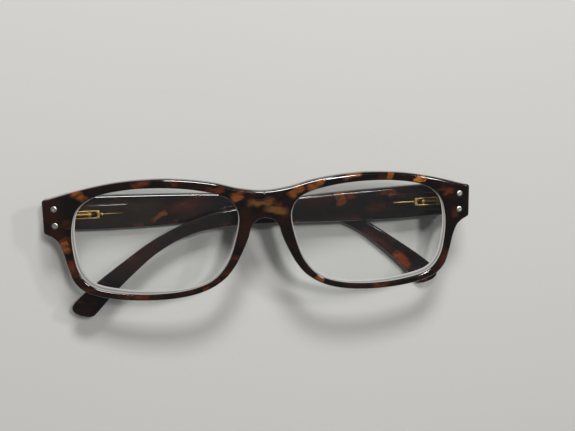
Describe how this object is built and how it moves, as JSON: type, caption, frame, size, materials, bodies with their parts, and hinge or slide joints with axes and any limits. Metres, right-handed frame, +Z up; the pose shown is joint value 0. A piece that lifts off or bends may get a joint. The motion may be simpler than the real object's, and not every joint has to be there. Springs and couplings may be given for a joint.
{
  "type": "folding reading glasses",
  "caption": "Folding reading glasses with a tortoiseshell plastic front, clear lenses and temples on spring hinges, stored folded and lying face up.",
  "frame": {"origin": "on the flat outer face of the left temple, which lies on the table, below the bridge and level with the hinge centres", "axes": "+X runs across the front from the left end piece to the right one as seen from the face side, +Y towards the brow, +Z up from the table, which is the way the face looks"},
  "size_m": [0.1393, 0.0458, 0.0181],
  "materials": {
    "tortoise": "polished tortoiseshell, near-black brown with amber patches",
    "lens": "clear, polished faces with a frosted edge",
    "gold": "gold-coloured plated metal",
    "steel": "bright steel"
  },
  "bodies": {
    "front": {"front_frame": "tortoise", "left_lens": "lens", "right_lens": "lens", "left_front_hinge": "gold", "right_front_hinge": "gold", "left_front_rivets": "steel", "right_front_rivets": "steel", "left_hinge_screw": "steel", "right_hinge_screw": "steel"},
    "left_slider": {"left_hinge_slider": "gold", "left_spring_nut": "gold"},
    "left_temple": {"left_temple": "tortoise", "left_spring_box": "gold", "left_hinge_spring": "gold", "left_anchor_wire": "gold"},
    "right_slider": {"right_hinge_slider": "gold", "right_spring_nut": "gold"},
    "right_temple": {"right_temple": "tortoise", "right_spring_box": "gold", "right_hinge_spring": "gold", "right_anchor_wire": "gold"}
  },
  "joints": [
    {"name": "left_fold", "type": "hinge", "parent": "front", "child": "left_slider", "pos_m": [-0.06379, 0, 0.00525], "axis": [0, 1, 0], "range_deg": [0, 89]},
    {"name": "left_flex", "type": "slide", "parent": "left_slider", "child": "left_temple", "axis": [1, 0, 0], "range_m": [0, 0.0013], "stiffness_N_per_m": 2000, "springref_m": -0.0015, "deforming": ["left_hinge_spring"]},
    {"name": "right_fold", "type": "hinge", "parent": "front", "child": "right_slider", "pos_m": [0.06419, 0, 0.00748], "axis": [0, -1, 0], "range_deg": [0, 92.6]},
    {"name": "right_flex", "type": "slide", "parent": "right_slider", "child": "right_temple", "axis": [-0.9996, 0, 0.0279], "range_m": [0, 0.0013], "stiffness_N_per_m": 2000, "springref_m": -0.0015, "deforming": ["right_hinge_spring"]}
  ]
}
